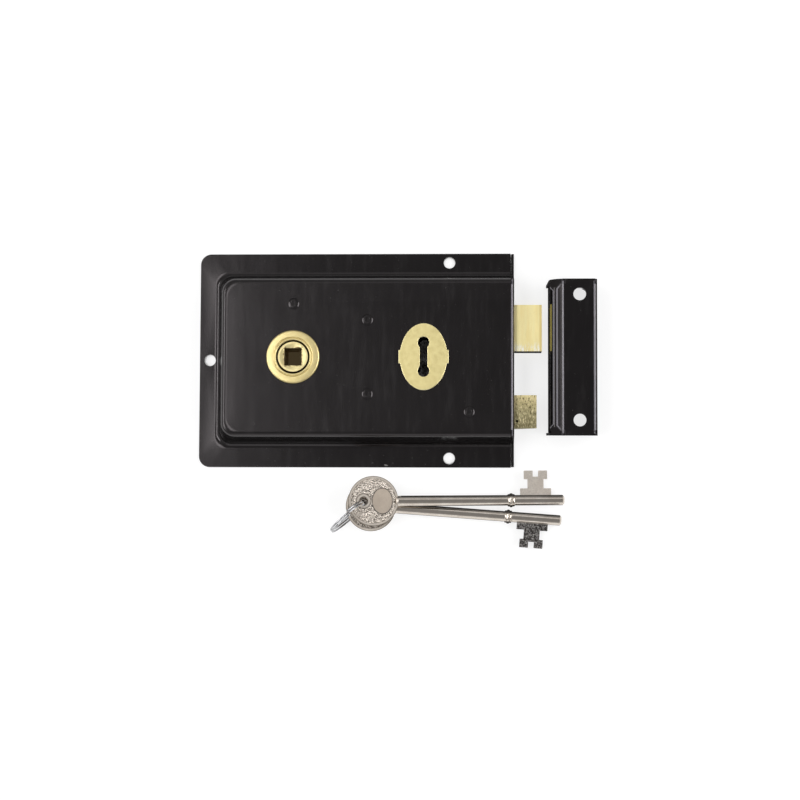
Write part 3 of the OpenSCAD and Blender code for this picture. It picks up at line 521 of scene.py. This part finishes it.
def bow_nickel(s, p, base, fine):
    """A key's bow: stippled between its rim, its boss and a smooth oval.
    Gives the colour, and how much duller than the shank the surface is."""
    x, y, _ = s.split(p)
    hole = s.distance(x, y)
    bow = s.distance(x, y, (BOW_AT, 0))
    oval = s.distance(x, y, (OVAL_AT, 0), OVAL_HALF)
    inside = s.span(bow, BOW_R - BOW_RIM + 0.3, BOW_R - BOW_RIM - 0.1)
    on_oval = s.times(inside, s.span(oval, 1.02, 0.98))
    on_boss = s.times(inside, s.span(hole, BOSS_FOOT + 0.15, BOSS_FOOT - 0.15))
    on_rim = s.times(s.span(bow, BOW_R - BOW_RIM - 0.1, BOW_R - BOW_RIM + 0.1),
                     s.span(x, BOW_END + 0.4, BOW_END - 0.3))
    stippled = s.times(inside, s.span(oval, 1.04, 1.12),
                       s.span(hole, BOSS_FOOT - 0.05, BOSS_FOOT + 0.35))
    # soil lies in the hollows of the stipple and round the oval, and the hole is painted dark as shade
    grain = s.cells(p, 1.8)
    hollows = s.times(stippled, s.span(grain, 0.42, 0.62))
    base = s.mix(hollows, base, (0.30, 0.262, 0.225))
    outline = s.times(s.span(oval, 0.97, 1.03), s.span(oval, 1.14, 1.08), 0.45)
    base = s.mix(outline, base, (0.25, 0.215, 0.18))
    plate = s.ramp(fine, (0.35, (0.53, 0.445, 0.365)), (0.65, (0.70, 0.61, 0.51)))
    base = s.mix(on_oval, base, plate)
    # painted shade in the hole
    base = s.mix(s.span(hole, HOLE_R + 0.15, HOLE_R), base, (0.02, 0.017, 0.014))
    # and along the edges of the rim and of the boss
    lines = s.most(s.line(bow, BOW_R - 0.05, 0.24),
                   s.times(s.line(bow, BOW_R - BOW_RIM - 0.05, 0.16), 0.5),
                   s.times(s.line(hole, BOSS_FOOT, 0.2), 0.7))
    lines = s.times(lines, s.span(x, BOW_END, BOW_END - 0.6), 0.85)
    base = s.mix(lines, base, (0.16, 0.125, 0.085))
    s.bump(grain, 0.2, stippled)
    plain = s.most(on_oval, on_rim, on_boss)
    return base, s.math("ADD", s.times(stippled, 0.08), s.times(plain, 0.27))


def bit_nickel(s, p, base, fine, on_bit, cast):
    """A key's bit: painted dark and mottled as the dark reflection of its tilted face, or only soiled in
    its grain.
    """
    s.bump(fine, 0.03, on_bit)
    # cast: the bit is painted dark and mottled as the dark reflection of its tilted face
    if cast:
        skin = s.ramp(s.noise(p, 1.8, 3, 0.7), (0.36, (0.02, 0.018, 0.017)),
                      (0.52, (0.09, 0.083, 0.08)), (0.66, (0.66, 0.63, 0.60)))
        return s.mix(on_bit, base, skin)
    return s.mix(s.times(on_bit, s.span(fine, 0.52, 0.38)), base, (0.42, 0.38, 0.34))


def key_nickel(node):
    """Nickelled iron: a worked bow, a polished shank and a rough bit."""
    s = Shader("nickel_" + node, (0.66, 0.60, 0.53), 1.0, 0.2)
    p = s.placed(*key_place(node))
    x, y, _ = s.split(p)
    fine = s.noise(p, 5.0, 3, 0.6)
    soil = s.noise(p, 0.22, 4, 0.6)
    base = s.ramp(soil, (0.3, (0.60, 0.535, 0.47)), (0.7, (0.72, 0.66, 0.59)))
    base, bow_matt = bow_nickel(s, p, base, fine)
    on_bit = s.times(s.span(x, BIT_X, BIT_X + 1.0),
                     s.span(s.times(y, BIT_SIDE[node]), BIT_Y, BIT_Y + 0.4))
    # only the lower key's bit, which lies tilted, is painted dark as its dark reflection
    base = bit_nickel(s, p, base, fine, on_bit, cast=node == "key_2")
    # painted shade down both sides of the shank, made matt there
    on_shank = s.times(s.span(x, SHANK[0], SHANK[0] + 1.0), s.span(x, SHANK[1], SHANK[1] - 0.4))
    sides = s.most(s.span(y, 1.4, 1.8), s.span(y, -2.2, -2.45))
    side_shade = s.times(on_shank, sides, s.math("SUBTRACT", 1.0, on_bit))
    s.color(s.mix(side_shade, base, (0.03, 0.025, 0.02)))
    matt = s.math("ADD", bow_matt, s.times(on_bit, 0.27))
    s.rough(s.math("ADD", matt, s.span(soil, 0.3, 0.7, 0.22, 0.16)))
    s.dull(side_shade)
    s.bump(s.noise(s.mapped((0.2, 3.0, 3.0)), 1.0, 3, 0.6), 0.005)
    return s.mat


def dress(material, *names):
    for name in names:
        mesh = NODES[name].data
        mesh.materials.clear()
        mesh.materials.append(material)


keep_enamel = keep_paint()
bolt_brass, cast_brass = deadbolt_brass(), latch_brass()
steel = rolled_sheet("rolled_steel", (0.46, 0.45, 0.44), 0.36)
# the wards are painted near black as the shade inside the keyhole
ward_shade = rolled_sheet("ward_shade_steel", (0.014, 0.013, 0.012), 0.6)
lever_brass = rolled_sheet("rolled_brass", (0.74, 0.60, 0.31), 0.34)
spring = drawn_wire("spring_wire", (0.52, 0.51, 0.50), 0.24)
bright = drawn_wire("ring_wire", (0.47, 0.47, 0.48), 0.12)

dress(case_paint(), "case", "back_plate")
dress(post_paint(), "lever_spring_post", "lever_pivot_post", "latch_spring_post", "latch_guide_post")
dress(keep_enamel, "keep")
dress(turned_brass(), "follower_rose")
dress(pressed_brass(), "keyhole_escutcheon")
dress(follower_brass(), "follower")
dress(bolt_brass, "deadbolt_head", "deadbolt_rivets")
dress(cast_brass, "latch_head", "latch_rivets")
dress(lever_brass, "front_lever", "rear_lever")
dress(bright, "back_plate_screws")
dress(ward_shade, "front_ward", "rear_ward")
dress(steel, "lever_spacers", "deadbolt_tail", "deadbolt_stump", "latch_tail")
for key in BIT_SIDE:
    dress(key_nickel(key), key)


# Pieces

def mesh_piece(name, verts, faces, material, smooth=True):
    mesh = bpy.data.meshes.new(name)
    mesh.from_pydata([[c * MM for c in v] for v in verts], [], faces)
    mesh.polygons.foreach_set("use_smooth", [smooth] * len(mesh.polygons))
    mesh.materials.append(material)
    mesh.update()
    obj = bpy.data.objects.new(name, mesh)
    bpy.context.scene.collection.objects.link(obj)
    return obj


def wound_faces(rings, count):
    """The faces of a tube of rings with count points each, closed at both ends."""
    faces = []
    for i in range(rings - 1):
        for k in range(count):
            a, b = i * count + k, i * count + (k + 1) % count
            faces.append((a, b, b + count, a + count))
    last = (rings - 1) * count
    return faces + [tuple(reversed(range(count))), tuple(range(last, last + count))]


def tube(name, path, radius, sides, material):
    """A round wire along a path, its ends drawn in a little."""
    path = [Vector(p) for p in path]
    last = len(path) - 1
    ways = [(path[min(i + 1, last)] - path[max(i - 1, 0)]).normalized() for i in range(last + 1)]
    tip_out, tip_r = radius * 0.3, radius * 0.75
    stations = [(path[0] - ways[0] * tip_out, ways[0], tip_r)]
    stations += [(point, way, radius) for point, way in zip(path, ways)]
    stations += [(path[last] + ways[last] * tip_out, ways[last], tip_r)]
    angles = [2 * math.pi * k / sides for k in range(sides)]
    side = ways[0].orthogonal().normalized()
    verts = []
    for point, way, r in stations:
        side = (side - way * side.dot(way)).normalized()
        up = way.cross(side)
        verts += [point + (side * math.cos(a) + up * math.sin(a)) * r for a in angles]
    return mesh_piece(name, verts, wound_faces(len(stations), sides), material)


def split_ring():
    """Two full turns of round wire, one lying on the other."""
    c, s = math.cos(RING_TURN), math.sin(RING_TURN)
    path = []
    for i in range(RING_STEPS + 1):
        part = i / RING_STEPS
        a = math.radians(RING_START + 720 * part)
        out, up = RING_R * math.cos(a), RING_R * math.sin(a)
        across = RING_PITCH * (2 * part - 1) - up * math.tan(RING_LEAN)
        path.append((RING_AT[0] + c * out - s * across, RING_AT[1] + s * out + c * across,
                     RING_AT[2] + up))
    ring = tube("split_ring", path, RING_WIRE / 2, 12, bright)
    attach(ring, "key_ring")
    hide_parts("key_ring")


def latch_coil():
    """A coil of round wire for the latch's compression spring; it stays fixed and does not shorten when
    the latch retracts.
    """
    steps = COIL_TURNS * COIL_STEPS
    path = []
    for i in range(steps + 1):
        a = 2 * math.pi * i / COIL_STEPS
        path.append((COIL_X + COIL_LEN * i / steps, COIL_AT[0] + COIL_R * math.cos(a),
                     COIL_AT[1] + COIL_R * math.sin(a)))
    coil = tube("latch_coil", path, COIL_WIRE / 2, 10, spring)
    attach(coil, "lock")
    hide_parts("latch_spring")
    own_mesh(coil)


def leaf(name, node):
    """A flat lever spring, which in the lock is held in its lever and bent against the spring post; here
    a straight chamfered strip in the node's place.
    """
    low, high = corners(node)
    c = LEAF_CHAMFER
    # goes round the way that turns the faces outwards
    section = [(low.y, high.z - c), (low.y + c, high.z), (high.y - c, high.z), (high.y, high.z - c),
               (high.y, low.z + c), (high.y - c, low.z), (low.y + c, low.z), (low.y, low.z + c)]
    verts = []
    for i in range(LEAF_STEPS + 1):
        x = high.x + (low.x - high.x) * i / LEAF_STEPS
        verts += [(x, y, z) for y, z in section]
    faces = wound_faces(LEAF_STEPS + 1, len(section))
    strip = mesh_piece(name, verts, faces, spring, smooth=False)
    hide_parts(node)
    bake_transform(strip)


def bent_strip(outside, inside, ends):
    """A folded sheet's section in X and Z, drawn out along Y between two ends."""
    section = inside[::-1] + outside[::-1]
    n = len(section)
    verts = [(x, y, z) for y in ends for x, z in section]
    faces = [(k, (k + 1) % n, n + (k + 1) % n, n + k) for k in range(n)]
    caps = [(i, i + 1, n - 2 - i, n - 1 - i) for i in range(n // 2 - 1)]
    return verts, faces + [cap[::-1] for cap in caps] + [tuple(v + n for v in cap) for cap in caps]


def keep_corner(name, side):
    """Closes the keep's nose, and its base below that, against one end wall."""
    x0, x1 = BASE_X
    z0, z1 = BASE_Z
    nose = bent_strip(NOSE_OUTSIDE, NOSE_INSIDE, KEEP_END)
    base = bent_strip([(x1, z1), (x0, z1)], [(x0, z0), (x1, z0)], (KEEP_END[0], KEEP_END[0] + BASE_REACH))
    verts, faces = [], []
    for strip_verts, strip_faces in (nose, base):
        start = len(verts)
        verts += [(x, side * y, z) for x, y, z in strip_verts]
        faces += [tuple(start + v for v in face[::side]) for face in strip_faces]
    ear = mesh_piece(name, verts, faces, keep_enamel, smooth=False)
    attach(ear, "keep")


split_ring()
latch_coil()
keep_corner("keep_corner_top", 1)
keep_corner("keep_corner_bottom", -1)
leaf("front_leaf", "front_lever_spring")
leaf("rear_leaf", "rear_lever_spring")


# Edge rounding, by modifiers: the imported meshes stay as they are

def weld(obj):
    """Joins the corners that meet, so that the faces share their edges."""
    merge = obj.modifiers.new("weld", "WELD")
    merge.merge_threshold = 2e-6


def ease(width, segments, *names):
    """Rounds the sharp edges of nodes."""
    for name in names:
        obj = NODES[name]
        weld(obj)
        flat = obj.modifiers.new("flat", "DECIMATE")
        flat.decimate_type = "DISSOLVE"
        flat.angle_limit = math.radians(0.5)
        bevel = obj.modifiers.new("ease", "BEVEL")
        bevel.width = width * MM
        bevel.segments = segments
        bevel.limit_method = "ANGLE"
        bevel.angle_limit = math.radians(35)
        bevel.harden_normals = True


def smooth_skin(angle):
    """A modifier's node group: shade smooth, but keep edges sharper than angle."""
    group = bpy.data.node_groups.new("smooth_skin", "GeometryNodeTree")
    for way in ("INPUT", "OUTPUT"):
        group.interface.new_socket("Geometry", in_out=way, socket_type="NodeSocketGeometry")
    into, out = group.nodes.new("NodeGroupInput"), group.nodes.new("NodeGroupOutput")
    fold = group.nodes.new("GeometryNodeInputMeshEdgeAngle")
    sharp = group.nodes.new("FunctionNodeCompare")
    sharp.operation = "GREATER_THAN"
    sharp.inputs[1].default_value = math.radians(angle)
    shade = group.nodes.new("GeometryNodeSetMeshNormal")
    shade.mode = "SHARPNESS"
    group.links.new(into.outputs[0], shade.inputs["Mesh"])
    group.links.new(fold.outputs["Unsigned Angle"], sharp.inputs[0])
    group.links.new(sharp.outputs[0], shade.inputs["Edge Sharpness"])
    group.links.new(shade.outputs[0], out.inputs[0])
    return group


def smooth(angle, *names):
    group = smooth_skin(angle)
    for name in names:
        weld(NODES[name])
        NODES[name].modifiers.new("smooth", "NODES").node_group = group


ease(0.35, 3, "deadbolt_head", "latch_head")
ease(0.6, 4, "keyhole_escutcheon")
ease(0.18, 2, "follower_rose", "follower")
smooth(28, "case", "keep")


# Stage and lighting

scene = bpy.context.scene
scene.view_settings.view_transform = "Standard"


def floor():
    """A white sheet: its glow keeps the background white, and fades where the
    case covers it, so that the keyhole stays dark. Under the case it is
    painted dark as shade, and under the spindle's square it glows a dim
    brown as painted shade."""
    s = Shader("white_sheet", FLOOR_WHITE)
    s.tree.nodes.remove(s.bsdf)
    x, y, _ = s.split(s.mapped())
    shade = s.node("AmbientOcclusion", samples=8)
    shade.inputs["Distance"].default_value = FLOOR_SHADE * MM
    off_case = s.most(s.math("DIVIDE", s.math("ABSOLUTE", x), CASE_HALF.x),
                      s.math("DIVIDE", s.math("ABSOLUTE", y), CASE_HALF.y))
    clear = s.most(s.span(off_case, 0.995, 1.0), s.span(shade.outputs["AO"], 0.10, 0.40))
    matt = s.node("BsdfDiffuse")
    s.feed(matt.inputs["Color"], s.mix(clear, SHADE_UNDER_CASE, FLOOR_WHITE))
    # painted shade: behind the spindle's square the floor glows a dim brown
    square_shade = s.span(s.distance(x, y, SPINDLE), 8, 7)
    rays = s.node("LightPath")
    seen = s.math("ADD", rays.outputs["Is Camera Ray"], rays.outputs["Is Glossy Ray"])
    seen = s.math("ADD", seen, rays.outputs["Is Transmission Ray"], clamp=True)
    glow = s.node("Emission")
    s.feed(glow.inputs["Color"], s.mix(clear, SHADE_UNDER_SQUARE, (FLOOR_GLOW,) * 3))
    s.feed(glow.inputs["Strength"], s.times(seen, s.most(clear, square_shade)))
    both = s.node("AddShader")
    s.feed(both.inputs[0], matt.outputs[0])
    s.feed(both.inputs[1], glow.outputs[0])
    s.feed(s.out, both.outputs[0])
    square = [(-1, -1), (1, -1), (1, 1), (-1, 1)]
    verts = [(FLOOR_HALF * i, FLOOR_HALF * k, FLOOR_Z) for i, k in square]
    mesh_piece("floor", verts, [(0, 1, 2, 3)], s.mat, smooth=False)


def sky():
    """A studio dome: pale round the horizon, dim overhead."""
    world = bpy.data.worlds.new("studio")
    scene.world = world
    world.use_nodes = True
    tree = world.node_tree
    where = tree.nodes.new("ShaderNodeTexCoord")
    part = tree.nodes.new("ShaderNodeSeparateXYZ")
    fade = tree.nodes.new("ShaderNodeValToRGB")
    for mark, (height, color) in zip(fade.color_ramp.elements, SKY):
        mark.position = height
        mark.color = (*color, 1)
    tree.links.new(where.outputs["Generated"], part.inputs[0])
    tree.links.new(part.outputs["Z"], fade.inputs[0])
    tree.links.new(fade.outputs[0], tree.nodes["Background"].inputs["Color"])


def softbox(name, tilt_x, tilt_y, far, size, level):
    """A rectangular lamp that faces the lock, tilted off the vertical in degrees."""
    way = Vector((math.tan(math.radians(tilt_x)), math.tan(math.radians(tilt_y)), 1)).normalized()
    lamp = bpy.data.lights.new(name, "AREA")
    lamp.shape = "RECTANGLE"
    lamp.size, lamp.size_y = size
    lamp.energy = level * math.pi * size[0] * size[1]
    obj = bpy.data.objects.new(name, lamp)
    obj.location = LAMP_AIM + way * far
    across = (Vector((1, 0, 0)) - way * way.x).normalized()
    obj.rotation_euler = Matrix((across, way.cross(across), way)).transposed().to_euler()
    scene.collection.objects.link(obj)


def camera():
    cam = bpy.data.cameras.new("camera")
    cam.lens, cam.sensor_width, cam.sensor_fit = LENS, SENSOR, "HORIZONTAL"
    cam.clip_start, cam.clip_end = CLIP
    obj = bpy.data.objects.new("camera", cam)
    turn = Euler([math.radians(a) for a in CAMERA_TURN]).to_matrix().to_4x4()
    obj.matrix_world = Matrix.Translation(CAMERA_AT) @ turn
    scene.collection.objects.link(obj)
    scene.camera = obj


floor()
sky()
camera()
for lamp_name, lamp in LAMPS.items():
    softbox(lamp_name, *lamp)
